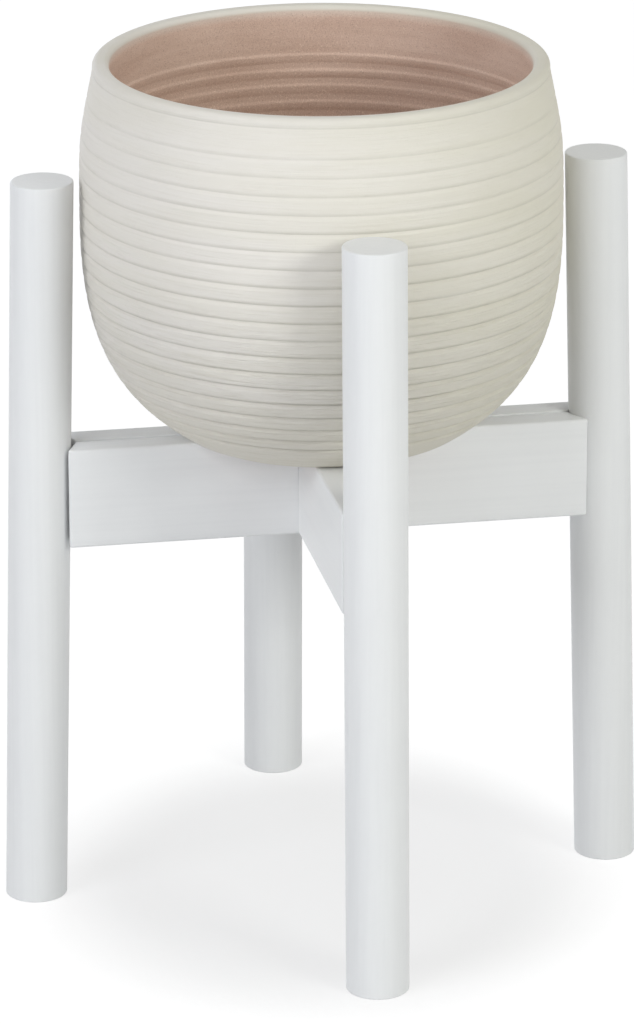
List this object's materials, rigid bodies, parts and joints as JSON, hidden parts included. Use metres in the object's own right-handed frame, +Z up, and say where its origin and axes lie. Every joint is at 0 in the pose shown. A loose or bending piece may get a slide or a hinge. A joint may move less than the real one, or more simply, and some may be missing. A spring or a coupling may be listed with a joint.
{
  "type": "plant stand with pot",
  "caption": "White wooden plant stand with raked dowel legs and crossed rails, carrying a loose ribbed ceramic pot that lifts out between the leg tops.",
  "frame": {"origin": "on the floor, under the crossing of the rails", "axes": "+Z up; X along the lower rail with leg_right at +X; Y along the upper rail with leg_front at -Y"},
  "size_m": [0.3168, 0.3168, 0.4158],
  "materials": {
    "white_paint": "satin white paint on smooth wood",
    "beech": "raw turned beech",
    "stoneware": "matt cream outside, bare dusty pink inside"
  },
  "bodies": {
    "stand": {"leg_left": "white_paint", "leg_right": "white_paint", "leg_front": "white_paint", "leg_back": "white_paint", "lower_rail_front_board": "white_paint", "lower_rail_back_board": "white_paint", "upper_rail_left_board": "white_paint", "upper_rail_right_board": "white_paint", "pin_left_lower": "beech", "pin_left_upper": "beech", "pin_right_lower": "beech", "pin_right_upper": "beech", "pin_front_lower": "beech", "pin_front_upper": "beech", "pin_back_lower": "beech", "pin_back_upper": "beech"},
    "pot": {"pot": "stoneware"}
  },
  "joints": [
    {"name": "pot_lift", "type": "slide", "parent": "stand", "child": "pot", "axis": [0, 0, 1], "range_m": [0, 0.15]}
  ]
}
